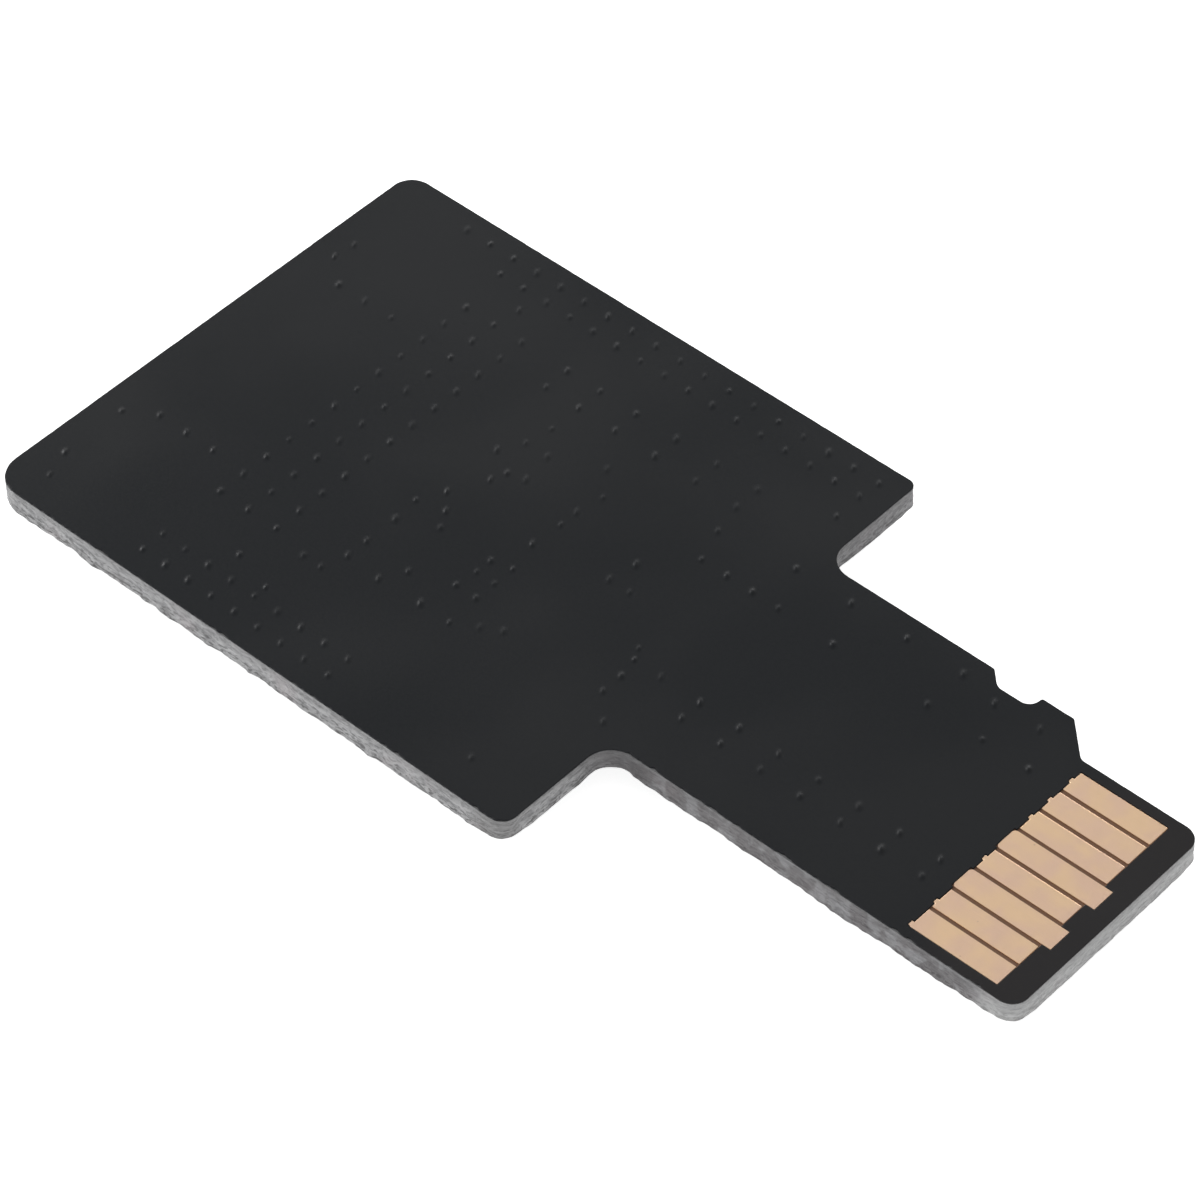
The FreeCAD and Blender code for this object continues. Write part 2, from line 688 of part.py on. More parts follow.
def box(name, low, extent):
    """A box whose low corner and extent are formulas of cell names."""
    item = doc.addObject("Part::Box", name)
    for side, formula in zip(("Length", "Width", "Height"), extent):
        item.setExpression(side, cell(formula))
    for axis, formula in zip("xyz", low):
        item.setExpression("Placement.Base." + axis, cell(formula))
    return item


def bevelled_box(name, low, extent, bevel):
    """A box with its four long edges broken, as tumbled ceramic has them."""
    item = box(name + "_block", low, extent)
    doc.recompute()
    broken = doc.addObject("Part::Chamfer", name)
    broken.Base = item
    long_edges = [
        i + 1 for i, edge in enumerate(item.Shape.Edges)
        if abs(edge.Length - item.Length.Value) < TOUCH and edge.BoundBox.YLength < TOUCH
    ]
    broken.Edges = [(i, bevel, bevel) for i in long_edges]
    return broken


def cut(name, base, tool):
    item = doc.addObject("Part::Cut", name)
    item.Base = base
    item.Tool = tool
    return item


def chip(name, kind, key):
    """A chip part, lying with its top down: the ceramic body, and plated ends that wrap it."""
    whole_low = (
        key + "x - " + kind + "_length / 2",
        key + "y - " + kind + "_width / 2",
        "socket_height - " + kind + "_height",
    )
    whole = (kind + "_length", kind + "_width", kind + "_height")
    core_low = [formula + " + end_plating" for formula in whole_low]
    core = [formula + " - 2 * end_plating" for formula in whole]
    if kind == "resistor":
        outer = box(name + "_outer", whole_low, whole)
        body = box(name, core_low, core)
    else:
        bevel = size("cap_edge_bevel")
        outer = bevelled_box(name + "_outer", whole_low, whole, bevel)
        body = bevelled_box(name, core_low, core, bevel - size("end_plating"))
    band = END_BANDS[kind]
    waist_low = (
        whole_low[0] + " + " + band, whole_low[1] + " - end_plating", whole_low[2] + " - end_plating")
    waist = (whole[0] + " - 2 * " + band, whole[1] + " + 2 * end_plating", whole[2] + " + 2 * end_plating")
    shell = cut(name + "_shell", outer, body)
    ends = cut(name + "_ends", shell, box(name + "_waist", waist_low, waist))
    keep(name, body)
    keep(name + "_ends", ends)


def chip_pad_boxes(name, kind, key):
    """The two pads of a chip part."""
    band = END_BANDS[kind]
    low_y = key + "pad_low"
    extent = (band + " + chip_pad_toe", kind + "_width + 2 * chip_pad_side", "copper_thickness")
    left = box(name + "_pad_1", (key + "pad_outer_left", low_y, "socket_height"), extent)
    right = box(name + "_pad_2", (key + "pad_inner_right", low_y, "socket_height"), extent)
    return [left, right]


def chip_solder(name, kind, key):
    """Sloping solder from the outer end of each pad up the face of the plated end."""
    wedges = []
    for number, side in enumerate((-1, 1)):
        wedge = doc.addObject("Part::Wedge", "%s_wedge_%d" % (name, number + 1))
        toe = "solder_toe" if side > 0 else "-solder_toe"
        wedge.setExpression("Xmin" if side < 0 else "Xmax", cell(toe))
        wedge.setExpression("Xmax" if side < 0 else "Xmin", "0")
        wedge.X2min = 0
        wedge.X2max = 0
        wedge.Ymin = 0
        wedge.setExpression("Ymax", cell("solder_height"))
        wedge.Zmin = 0
        wedge.Z2min = 0
        wedge.setExpression("Zmax", cell(kind + "_width"))
        wedge.setExpression("Z2max", cell(kind + "_width"))
        wedge.Placement = FreeCAD.Placement(Vector(0, 0, 0), FreeCAD.Rotation(Vector(1, 0, 0), -90))
        wedge.setExpression("Placement.Base.x", cell("%sx + %d * %s_length / 2" % (key, side, kind)))
        wedge.setExpression("Placement.Base.y", cell("%sy - %s_width / 2" % (key, kind)))
        wedge.setExpression("Placement.Base.z", cell("socket_height"))
        wedges.append(wedge)
    return wedges


pad_boxes = []
solder_wedges = []
for number, (name, kind, along, place, pitch) in enumerate(CHIPS):
    key = "chip%d_" % number
    chip(name, kind, key)
    pad_boxes += chip_pad_boxes(name, kind, key)
    solder_wedges += chip_solder(name, kind, key)
chip_pads = doc.addObject("Part::Compound", "chip_pads")
chip_pads.Links = pad_boxes
keep("chip_pads", chip_pads)
solder = doc.addObject("Part::Compound", "chip_solder")
solder.Links = solder_wedges
keep("chip_solder", solder)

# Solder mask on the component side. Each row of leads has one opening over all its pads,
# and every other pad has an opening of its own.
component_side_mask = board_layer("component_side_mask", "mask_thickness", "lower_mask_bottom")
openings = new_sketch(component_side_mask, "pad_openings")
for name in SOCKETS:
    add_loop(openings, rectangle(name + "_left_out", "-gang_end", name + "_left_in", "gang_end"))
    add_loop(openings, rectangle(name + "_right_in", "-gang_end", name + "_right_out", "gang_end"))
    ends = (name + "_end_left", name + "_end_right")
    add_loop(openings, rectangle(ends[0], "end_window_near", ends[1], "end_window_far"))
    add_loop(openings, rectangle(ends[0], "-end_window_far", ends[1], "-end_window_near"))
for number in range(len(CHIPS)):
    key = "chip%d_window_" % number
    add_loop(openings, rectangle(key + "outer_left", key + "low", key + "inner_left", key + "high"))
    add_loop(openings, rectangle(key + "inner_right", key + "low", key + "outer_right", key + "high"))
add_pocket(component_side_mask, openings, None, "PadOpenings")
keep("component_side_mask", component_side_mask)

doc.recompute()

for item in doc.Objects:
    if "Invalid" in item.State or "Error" in item.State:
        raise RuntimeError("%s is %s" % (item.Name, item.State))
for item in subparts:
    if item.Shape.isNull() or not item.Shape.isValid():
        raise RuntimeError(item.Label + " has no valid shape")

os.makedirs("parts", exist_ok=True)
for item in subparts:
    item.Shape.exportStep("parts/%s.step" % item.Label)
    extent = item.Shape.BoundBox
    print("%-28s %3d solids %9.4f mm3  z %.3f to %.3f" % (
        item.Label, len(item.Shape.Solids), item.Shape.Volume, extent.ZMin, extent.ZMax))
print(len(subparts), "sub-parts,", len(vias), "vias")
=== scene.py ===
# Looks of the adapter board: a thin black circuit board that lies on a pale floor with its
# gold card contacts up. Metres in the scene; lengths in the tables and in the shaders'
# coordinates are millimetres, in the same frame as the solids.
import math
import random

import bpy
from mathutils import Matrix, Vector, noise
from mathutils.geometry import delaunay_2d_cdt


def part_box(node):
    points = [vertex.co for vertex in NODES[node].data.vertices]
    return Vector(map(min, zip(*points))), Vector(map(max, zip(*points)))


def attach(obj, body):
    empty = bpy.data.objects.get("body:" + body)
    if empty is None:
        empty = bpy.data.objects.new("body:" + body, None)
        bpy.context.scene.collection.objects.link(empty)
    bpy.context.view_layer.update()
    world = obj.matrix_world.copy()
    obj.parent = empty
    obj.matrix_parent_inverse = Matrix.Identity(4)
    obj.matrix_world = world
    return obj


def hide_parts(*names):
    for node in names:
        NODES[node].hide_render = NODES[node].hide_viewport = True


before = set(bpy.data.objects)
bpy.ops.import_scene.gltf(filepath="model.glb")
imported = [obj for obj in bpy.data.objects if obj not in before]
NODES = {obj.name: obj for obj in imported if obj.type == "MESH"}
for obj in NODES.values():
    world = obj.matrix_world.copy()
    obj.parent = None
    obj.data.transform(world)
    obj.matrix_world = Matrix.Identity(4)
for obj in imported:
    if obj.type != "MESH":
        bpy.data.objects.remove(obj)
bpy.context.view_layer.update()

MM = 0.001
SAME_PLACE = 1e-4  # millimetres


# Reading the solids

def welded(node):
    """A solid's corners in millimetres, each once, and its triangles as corner numbers."""
    mesh = NODES[node].data
    numbers, corners, which = {}, [], []
    for vertex in mesh.vertices:
        place = vertex.co / MM
        key = tuple(round(value / SAME_PLACE) for value in place)
        if key not in numbers:
            numbers[key] = len(corners)
            corners.append(place.copy())
        which.append(numbers[key])
    faces = [tuple(which[i] for i in polygon.vertices) for polygon in mesh.polygons]
    return corners, [face for face in faces if len(set(face)) == len(face)]


def signed_area(loop):
    """The loop's area, above zero where it runs anticlockwise."""
    return sum(a[0] * b[1] - b[0] * a[1] for a, b in zip(loop, loop[1:] + loop[:1])) / 2


def face_loops(node, height):
    """The border loops of a solid's flat face at a height, the outermost first, each
    running anticlockwise seen from above."""
    corners, faces = welded(node)
    level = {i for i, corner in enumerate(corners) if abs(corner.z - height) < 1e-3}
    sides = {}
    for face in faces:
        if all(i in level for i in face):
            for a, b in zip(face, face[1:] + face[:1]):
                if (b, a) in sides:
                    del sides[(b, a)]
                else:
                    sides[(a, b)] = True
    following = dict(sides.keys())
    loops = []
    while following:
        start = at = next(iter(following))
        loop = []
        while at in following:
            loop.append((corners[at].x, corners[at].y))
            at = following.pop(at)
        if at == start and len(loop) > 2:
            loops.append(loop if signed_area(loop) > 0 else loop[::-1])
    return sorted(loops, key=lambda loop: -abs(signed_area(loop)))


def lumps(node):
    """The separate solids of a node, each as its list of corners."""
    corners, faces = welded(node)
    leader = list(range(len(corners)))

    def find(i):
        while leader[i] != i:
            leader[i] = leader[leader[i]]
            i = leader[i]
        return i

    for face in faces:
        for i in face[1:]:
            leader[find(i)] = find(face[0])
    groups = {}
    for i, corner in enumerate(corners):
        groups.setdefault(find(i), []).append(corner)
    return list(groups.values())


# Flat shapes

def divided(loop, step):
    """The loop with its long sides divided, its own corners kept."""
    points = []
    for a, b in zip(loop, loop[1:] + loop[:1]):
        parts = max(1, math.ceil(math.dist(a, b) / step))
        points += [
            (a[0] + (b[0] - a[0]) * i / parts, a[1] + (b[1] - a[1]) * i / parts) for i in range(parts)]
    return points


def outward(loop):
    """The outward direction at each point of an anticlockwise loop, mitred at corners."""
    directions = []
    for before, at, after in zip(loop[-1:] + loop[:-1], loop, loop[1:] + loop[:1]):
        first = Vector((at[1] - before[1], before[0] - at[0])).normalized()
        second = Vector((after[1] - at[1], at[0] - after[0])).normalized()
        middle = (first + second).normalized()
        directions.append(middle / max(0.5, middle.dot(first)))
    return directions


def offset(loop, amount):
    """The loop with each point moved outward, or inward for a negative amount."""
    return [(p[0] + n.x * amount, p[1] + n.y * amount) for p, n in zip(loop, outward(loop))]


def inside(point, loop):
    """Whether a point lies inside a loop, by counting crossings."""
    x, y = point
    within = False
    for (ax, ay), (bx, by) in zip(loop, loop[1:] + loop[:1]):
        if (ay > y) != (by > y) and x < (bx - ax) * (y - ay) / (by - ay) + ax:
            within = not within
    return within


def fill(loops, loose=()):
    """Triangles between an outer loop and its holes, as numbers into all the points."""
    points = [point for loop in loops for point in loop]
    edges, start = [], 0
    for loop in loops:
        edges += [(start + i, start + (i + 1) % len(loop)) for i in range(len(loop))]
        start += len(loop)
    points += list(loose)
    places, _, triangles, origins, _, _ = delaunay_2d_cdt(
        [Vector(p) for p in points], edges, [], 1, 1e-7, True)
    number = [origin[0] if origin else None for origin in origins]
    kept = []
    for triangle in triangles:
        middle = sum((places[i] for i in triangle), Vector((0, 0))) / 3
        if inside(middle, loops[0]) and not any(inside(middle, hole) for hole in loops[1:]):
            kept.append(tuple(number[i] for i in triangle))
    return points, kept


def facing(corners, places, up):
    """A flat triangle's corners, in the order that turns it up for 1 and down for -1."""
    a, b, c = (places[i] for i in corners)
    turn = (b[0] - a[0]) * (c[1] - a[1]) - (b[1] - a[1]) * (c[0] - a[0])
    return corners if turn * up > 0 else corners[::-1]


class Shell:
    """Corners and faces of one mesh while it is put together, in millimetres."""

    def __init__(self):
        self.corners, self.faces, self.paints, self.runs = [], [], [], []

    def add(self, places):
        """New corners; gives their numbers."""
        first = len(self.corners)
        self.corners += places
        return list(range(first, len(self.corners)))

    def face(self, corners, paint=0, run=None):
        """A face, the number of its paint and where its corners lie along the cut edge."""
        self.faces.append(corners)
        self.paints.append(paint)
        self.runs.append(run or [(0.0, 0.0)] * len(corners))

    def band(self, first, second, paint=0, lengths=None, heights=(0.0, 0.0)):
        """A closed band of squares between two rings of corners."""
        count = len(first)
        for i in range(count):
            j = (i + 1) % count
            run = None
            if lengths:
                a, b = lengths[i], lengths[i + 1]
                run = [(a, heights[0]), (b, heights[0]), (b, heights[1]), (a, heights[1])]
            self.face((first[i], first[j], second[j], second[i]), paint, run)

    def volume(self, first):
        """Six times the volume inside the faces from a number on; below zero if turned in."""
        places = [Vector(corner) for corner in self.corners]
        return sum(
            places[face[0]].dot(places[a].cross(places[b]))
            for face in self.faces[first:] for a, b in zip(face[1:], face[2:]))

    def piece(self, name, materials, node):
        """The finished mesh as a piece of the scene that stands for the given node."""
        mesh = bpy.data.meshes.new(name)
        mesh.from_pydata([Vector(corner) * MM for corner in self.corners], [], self.faces)
        layer = mesh.uv_layers.new(name="cut_run")
        for polygon, run in zip(mesh.polygons, self.runs):
            for loop, place in zip(polygon.loop_indices, run):
                layer.data[loop].uv = place
        for material in materials:
            mesh.materials.append(material)
        mesh.polygons.foreach_set("material_index", self.paints)
        mesh.update()
        made = bpy.data.objects.new(name, mesh)
        bpy.context.scene.collection.objects.link(made)
        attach(made, "root")
        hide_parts(node)
        return made


# Shader helpers

def put(tree, kind, inputs=None, **settings):
    """One shader node with its settings, its values and what feeds it."""
    made = tree.nodes.new(kind)
    for name, value in settings.items():
        setattr(made, name, value)
    for socket, value in (inputs or {}).items():
        if isinstance(value, bpy.types.NodeSocket):
            tree.links.new(value, made.inputs[socket])
        else:
            made.inputs[socket].default_value = value
    return made


def math_of(tree, operation, first, second=0.0):
    """One step of arithmetic on values."""
    return put(tree, "ShaderNodeMath", {0: first, 1: second}, operation=operation).outputs[0]


def spread(tree, value, low, high, to_low=0.0, to_high=1.0, smooth=True):
    """A value's range carried over to another range."""
    ranges = {"Value": value, "From Min": low, "From Max": high, "To Min": to_low, "To Max": to_high}
    made = put(tree, "ShaderNodeMapRange", ranges,
               interpolation_type="SMOOTHSTEP" if smooth else "LINEAR")
    return made.outputs["Result"]


def blend_colours(tree, factor, first, second):
    """The first colour where the factor is 0 and the second where it is 1."""
    inputs = {0: factor}
    for socket, colour in ((6, first), (7, second)):
        inputs[socket] = colour if isinstance(colour, bpy.types.NodeSocket) else (*colour, 1.0)
    return put(tree, "ShaderNodeMix", inputs, data_type="RGBA").outputs[2]


def group(name, inputs, build):
    """A shader group with one output, Value, built once and placed in each material."""
    tree = bpy.data.node_groups.new(name, "ShaderNodeTree")
    for label, value in inputs:
        kind = "NodeSocketVector" if label == "Position" else "NodeSocketFloat"
        socket = tree.interface.new_socket(label, in_out="INPUT", socket_type=kind)
        if value is not None:
            socket.default_value = value
    tree.interface.new_socket("Value", in_out="OUTPUT", socket_type="NodeSocketFloat")
    entry = tree.nodes.new("NodeGroupInput")
    leave = tree.nodes.new("NodeGroupOutput")
    tree.links.new(build(tree, entry.outputs), leave.inputs["Value"])
    return tree


def build_grain(tree, given):
    """Even fine grain."""
    fine = math_of(tree, "DIVIDE", 1.0, given["Size"])
    made = put(tree, "ShaderNodeTexNoise", {
        "Vector": given["Position"], "Scale": fine, "Detail": given["Detail"], "Roughness": 0.6})
    return made.outputs[0]


def build_drift(tree, given):
    """Slow patches with soft borders."""
    wide = math_of(tree, "DIVIDE", 1.0, given["Size"])
    made = put(tree, "ShaderNodeTexNoise", {
        "Vector": given["Position"], "Scale": wide, "Detail": 2.0, "Roughness": 0.45, "Distortion": 0.3})
    return spread(tree, made.outputs[0], given["Low"], given["High"])


def build_streaks(tree, given):
    """Marks drawn out along the first coordinate."""
    long = math_of(tree, "DIVIDE", 1.0, given["Length"])
    thin = math_of(tree, "DIVIDE", 1.0, given["Thickness"])
    ratio = put(tree, "ShaderNodeCombineXYZ", {"X": long, "Y": thin, "Z": thin})
    place = put(tree, "ShaderNodeVectorMath", {0: given["Position"], 1: ratio.outputs[0]},
                operation="MULTIPLY")
    made = put(tree, "ShaderNodeTexNoise", {
        "Vector": place.outputs[0], "Scale": 1.0, "Detail": 2.0, "Roughness": 0.5, "Distortion": 0.4})
    return spread(tree, made.outputs[0], given["Low"], given["High"])


def build_specks(tree, given):
    """Small separate spots, as dust and pits make them."""
    close = math_of(tree, "DIVIDE", 1.0, given["Spacing"])
    made = put(tree, "ShaderNodeTexVoronoi", {"Vector": given["Position"], "Scale": close})
    edge = math_of(tree, "DIVIDE", given["Size"], given["Spacing"])
    return spread(tree, made.outputs["Distance"], edge, math_of(tree, "MULTIPLY", edge, 0.4))


def build_weave(tree, given):
    """The plain weave of the glass cloth, as it prints through the resin."""
    turn = math_of(tree, "DIVIDE", math.pi, given["Pitch"])
    apart = put(tree, "ShaderNodeSeparateXYZ", {0: given["Position"]})
    waves = [
        math_of(tree, "SINE", math_of(tree, "MULTIPLY", apart.outputs[axis], turn)) for axis in (0, 1)]
    return math_of(tree, "MULTIPLY", waves[0], waves[1])


GRAIN = group("fine_grain", [("Position", None), ("Size", 0.1), ("Detail", 4.0)], build_grain)
DRIFT = group("slow_drift", [
    ("Position", None), ("Size", 5.0), ("Low", 0.4), ("High", 0.6)], build_drift)
STREAKS = group("drawn_streaks", [
    ("Position", None), ("Length", 1.0), ("Thickness", 0.1), ("Low", 0.4), ("High", 0.6)], build_streaks)
SPECKS = group("small_specks", [("Position", None), ("Spacing", 1.0), ("Size", 0.1)], build_specks)
WEAVE = group("cloth_weave", [("Position", None), ("Pitch", 0.5)], build_weave)


class Finish:
    """A material while it is put together."""

    def __init__(self, name, roughness=0.5, metallic=0.0, **constants):
        self.material = bpy.data.materials.new(name)
        self.material.use_nodes = True
        self.tree = self.material.node_tree
        self.shader = self.tree.nodes["Principled BSDF"]
        self.shader.inputs["Roughness"].default_value = roughness
        self.shader.inputs["Metallic"].default_value = metallic
        for socket, value in constants.items():
            self.shader.inputs[socket].default_value = value
        place = put(self.tree, "ShaderNodeTexCoord")
        scaled = put(self.tree, "ShaderNodeVectorMath", {0: place.outputs["Object"]}, operation="SCALE")
        scaled.inputs["Scale"].default_value = 1 / MM
        self.place = scaled.outputs[0]

    def effect(self, tree, place=None, **inputs):
        """One shared effect with this material's own values."""
        inputs["Position"] = place or self.place
        return put(self.tree, "ShaderNodeGroup", inputs, node_tree=tree).outputs["Value"]

    def times(self, first, second):
        return math_of(self.tree, "MULTIPLY", first, second)

    def plus(self, first, second):
        return math_of(self.tree, "ADD", first, second)

    def spread(self, value, *ranges, **settings):
        return spread(self.tree, value, *ranges, **settings)

    def apart(self, vector):
        """The three coordinates of a vector."""
        return put(self.tree, "ShaderNodeSeparateXYZ", {0: vector}).outputs

    def mix(self, factor, first, second):
        return blend_colours(self.tree, factor, first, second)

    def colour(self, value):
        if isinstance(value, bpy.types.NodeSocket):
            self.tree.links.new(value, self.shader.inputs["Base Color"])
        else:
            self.shader.inputs["Base Color"].default_value = (*value, 1.0)

    def feed(self, socket, value):
        self.tree.links.new(value, self.shader.inputs[socket])

    def relief(self, height, depth):
        """Surface relief of a depth in millimetres from a height between 0 and 1."""
        bump = put(self.tree, "ShaderNodeBump", {
            "Height": height, "Distance": depth * MM, "Strength": 1.0})
        self.tree.links.new(bump.outputs["Normal"], self.shader.inputs["Normal"])


# Finishes

def mask_resin(name, tone):
    """Black solder mask: satin resin with a fine skin and slow changes of sheen."""
    made = Finish(name, roughness=0.34, IOR=1.37)
    patches = made.effect(DRIFT, Size=9.0, Low=0.35, High=0.7)
    grain = made.effect(GRAIN, Size=0.09, Detail=3.0)
    dust = made.effect(SPECKS, Spacing=3.1, Size=0.045)
    dark = [value * tone for value in (0.0018, 0.0034, 0.0056)]
    light = [value * tone for value in (0.0040, 0.0052, 0.0070)]
    lighter_near_nose = made.times(made.spread(made.apart(made.place)[0], 15.3, 17.8), 0.9)  # lighter towards the nose
    base = made.mix(lighter_near_nose, made.mix(patches, dark, light), (0.0150, 0.0130, 0.0135))
    made.colour(made.mix(made.times(dust, 0.35), base, (0.07, 0.07, 0.065)))
    made.feed("Roughness", made.plus(made.spread(grain, 0.3, 0.7, 0.29, 0.37), made.times(patches, 0.06)))
    skin = made.effect(GRAIN, Size=0.35, Detail=2.0)
    weave = made.effect(WEAVE, Pitch=0.48)
    made.relief(made.plus(made.plus(skin, made.times(weave, 0.12)), made.times(grain, 0.15)), 0.0012)
    return made.material


def gold_plating():
    """Satin gold over nickel, a little pink and a little yellow in turns."""
    made = Finish("gold_plating", roughness=0.38, metallic=1.0)
    patches = made.effect(DRIFT, Size=1.1, Low=0.32, High=0.68)
    grain = made.effect(GRAIN, Size=0.035, Detail=4.0)
    brushed = made.effect(STREAKS, Length=1.6, Thickness=0.03, Low=0.3, High=0.7)
    marks = made.effect(SPECKS, Spacing=0.83, Size=0.05)
    base = made.mix(patches, (0.935, 0.655, 0.485), (0.99, 0.705, 0.455))
    base = made.mix(made.times(marks, 0.35), base, (0.52, 0.36, 0.25))
    made.colour(made.mix(made.times(brushed, 0.12), base, (0.95, 0.72, 0.52)))
    made.feed("Roughness", made.spread(grain, 0.25, 0.75, 0.33, 0.5))
    made.relief(made.plus(grain, made.times(brushed, 0.5)), 0.0011)
    return made.material


def bare_laminate():
    """Brown resin with the glass cloth near the surface, where the mask is left open. Under
    the mask's chipped border, at the rim, it is scraped grey."""
    made = Finish("bare_laminate", roughness=0.5)
    weave = made.effect(WEAVE, Pitch=0.24)
    grain = made.effect(GRAIN, Size=0.05, Detail=3.0)
    along, across, _ = made.apart(made.place)
    beside = made.spread(math_of(made.tree, "ABSOLUTE", across), 5.15, 5.25)
    before = made.spread(along, 19.85, 19.95)
    rim = math_of(made.tree, "MAXIMUM", beside, before)
    brown = made.mix(grain, (0.13, 0.060, 0.032), (0.22, 0.115, 0.062))
    grey = made.mix(grain, (0.10, 0.10, 0.103), (0.21, 0.21, 0.215))
    made.colour(made.mix(rim, brown, grey))
    made.relief(made.plus(weave, grain), 0.002)
    return made.material


def cut_laminate_edge():
    """The routed edge of the laminate: bundles of glass along the cut, seen between darker
    resin, with torn spots low down."""
    made = Finish("cut_laminate_edge", roughness=0.62)
    run = put(made.tree, "ShaderNodeUVMap", uv_map="cut_run").outputs[0]
    height = made.apart(run)[1]
    low_down = made.spread(height, 0.55, 0.08)
    painted_top_shade = made.spread(height, 0.42, 0.70)

    wide = made.effect(STREAKS, run, Length=1.3, Thickness=0.26, Low=0.30, High=0.70)
    bundles = made.effect(STREAKS, run, Length=0.8, Thickness=0.15, Low=0.34, High=0.66)
    threads = made.effect(STREAKS, run, Length=0.4, Thickness=0.04, Low=0.3, High=0.7)
    blotches = made.effect(STREAKS, run, Length=0.36, Thickness=0.20, Low=0.40, High=0.60)
    flecks = made.effect(STREAKS, run, Length=0.22, Thickness=0.10, Low=0.52, High=0.62)
    torn = made.effect(STREAKS, run, Length=0.55, Thickness=0.10, Low=0.52, High=0.62)
    warm = made.effect(DRIFT, run, Size=1.6, Low=0.52, High=0.72)
    base = made.mix(wide, (0.175, 0.175, 0.18), (0.325, 0.325, 0.33))
    base = made.mix(made.times(bundles, 0.40), base, (0.40, 0.40, 0.405))
    base = made.mix(made.times(blotches, 0.50), base, (0.46, 0.46, 0.465))
    base = made.mix(made.times(threads, 0.20), base, (0.16, 0.16, 0.165))
    dark = made.times(flecks, made.plus(made.times(low_down, 0.50), 0.45))
    base = made.mix(dark, base, (0.10, 0.10, 0.102))
    base = made.mix(made.times(warm, 0.4), base, (0.36, 0.325, 0.335))
    base = made.mix(made.times(made.times(torn, low_down), 0.75), base, (0.075, 0.075, 0.075))

    # The near side of the tongue is darker, and the shoulder's corner too; the inner corner where
    # the shoulder meets the tongue is darkest, with painted shade, and the nose is paler, with painted
    # light.
    along, across, _ = made.apart(made.place)
    tongue = made.times(made.spread(along, 3.3, 4.5), made.spread(along, 19.4, 17.9))
    near_tongue = made.times(tongue, made.spread(across, -4.5, -5.0))
    mauve = made.mix(made.effect(DRIFT, run, Size=0.65, Low=0.46, High=0.60),
                     (0.068, 0.060, 0.063), (0.175, 0.173, 0.180))
    base = made.mix(made.times(near_tongue, 0.72), base, mauve)
    # painted shade: the inner corner where the shoulder meets the tongue is made darker
    inner = made.times(made.spread(along, 2.9, 3.6), made.spread(along, 6.0, 4.2))
    inner_corner_shade = made.times(inner, made.spread(across, -7.4, -6.3))
    base = made.mix(made.times(inner_corner_shade, 0.62), base, (0.060, 0.057, 0.060))
    shoulder_corner = made.times(made.spread(along, 1.6, 2.7), made.spread(across, -9.4, -9.9))
    base = made.mix(made.times(shoulder_corner, 0.45), base, (0.10, 0.097, 0.095))
    # painted light: the nose's edge is made paler, as if lit from its side
    nose = made.spread(along, 18.4, 19.6)
    base = made.mix(made.times(nose, 0.46), base, (0.435, 0.435, 0.43))
    # painted shade: the top of the cut is made darker than its lower part
    made.colour(made.mix(made.times(painted_top_shade, 0.32), base, (0.10, 0.10, 0.10)))
    made.relief(made.plus(made.times(threads, 0.25), made.plus(bundles, blotches)), 0.013)
    return made.material


def moulded_plastic():
    """Black moulded plastic with faint lines of flow."""
    made = Finish("moulded_plastic", roughness=0.45)
    flow = made.effect(STREAKS, Length=0.8, Thickness=0.12, Low=0.3, High=0.7)
    grain = made.effect(GRAIN, Size=0.04, Detail=3.0)
    made.colour(made.mix(flow, (0.017, 0.017, 0.018), (0.032, 0.032, 0.033)))
    made.feed("Roughness", made.spread(grain, 0.3, 0.7, 0.38, 0.55))
    made.relief(grain, 0.0025)
    return made.material


def plated_metal(name, dark, light, roughness, size):
    """Plated or molten metal with grain of a size and slow patches of two tones."""
    made = Finish(name, roughness=roughness, metallic=1.0)
    patches = made.effect(DRIFT, Size=size * 6, Low=0.35, High=0.65)
    grain = made.effect(GRAIN, Size=size, Detail=3.0)
    made.colour(made.mix(patches, dark, light))
    made.feed("Roughness", made.spread(grain, 0.3, 0.7, roughness - 0.08, roughness + 0.1))
    made.relief(grain, 0.0015)
    return made.material


def fired_ceramic():
    """The tan ceramic of the capacitors, with dark spots."""
    made = Finish("fired_ceramic", roughness=0.5)
    grain = made.effect(GRAIN, Size=0.05, Detail=4.0)
    spots = made.effect(SPECKS, Spacing=0.2, Size=0.04)
    base = made.mix(grain, (0.21, 0.13, 0.075), (0.31, 0.21, 0.13))
    made.colour(made.mix(made.times(spots, 0.4), base, (0.12, 0.07, 0.04)))
    made.relief(grain, 0.003)
    return made.material


def resistor_body(film_height):
    """White alumina with a black glazed film on the face that looks away from the board."""
    made = Finish("resistor_body", roughness=0.35)
    grain = made.effect(GRAIN, Size=0.04, Detail=3.0)
    height = made.apart(made.place)[2]
    film = made.spread(height, film_height + 0.012, film_height + 0.006, smooth=False)
    ceramic = made.mix(grain, (0.62, 0.61, 0.58), (0.74, 0.73, 0.70))
    black = made.mix(grain, (0.008, 0.008, 0.009), (0.02, 0.02, 0.021))
    made.colour(made.mix(film, ceramic, black))
    made.relief(grain, 0.002)
    return made.material


UPPER_MASK = mask_resin("upper_solder_mask", 1.0)
LOWER_MASK = mask_resin("lower_solder_mask", 1.05)
GOLD = gold_plating()
LAMINATE = bare_laminate()
CUT_EDGE = cut_laminate_edge()
PLASTIC = moulded_plastic()
SPRING = plated_metal("spring_strip", (0.76, 0.55, 0.27), (0.84, 0.63, 0.33), 0.28, 0.03)
TINNED = plated_metal("tinned_strip", (0.50, 0.50, 0.49), (0.63, 0.63, 0.62), 0.34, 0.03)
SOLDER = plated_metal("reflowed_solder", (0.52, 0.53, 0.54), (0.66, 0.67, 0.68), 0.26, 0.05)
PAD = plated_metal("pad_gold", (0.74, 0.54, 0.30), (0.82, 0.62, 0.36), 0.33, 0.03)
CERAMIC = fired_ceramic()


# Laminate with its cut edge

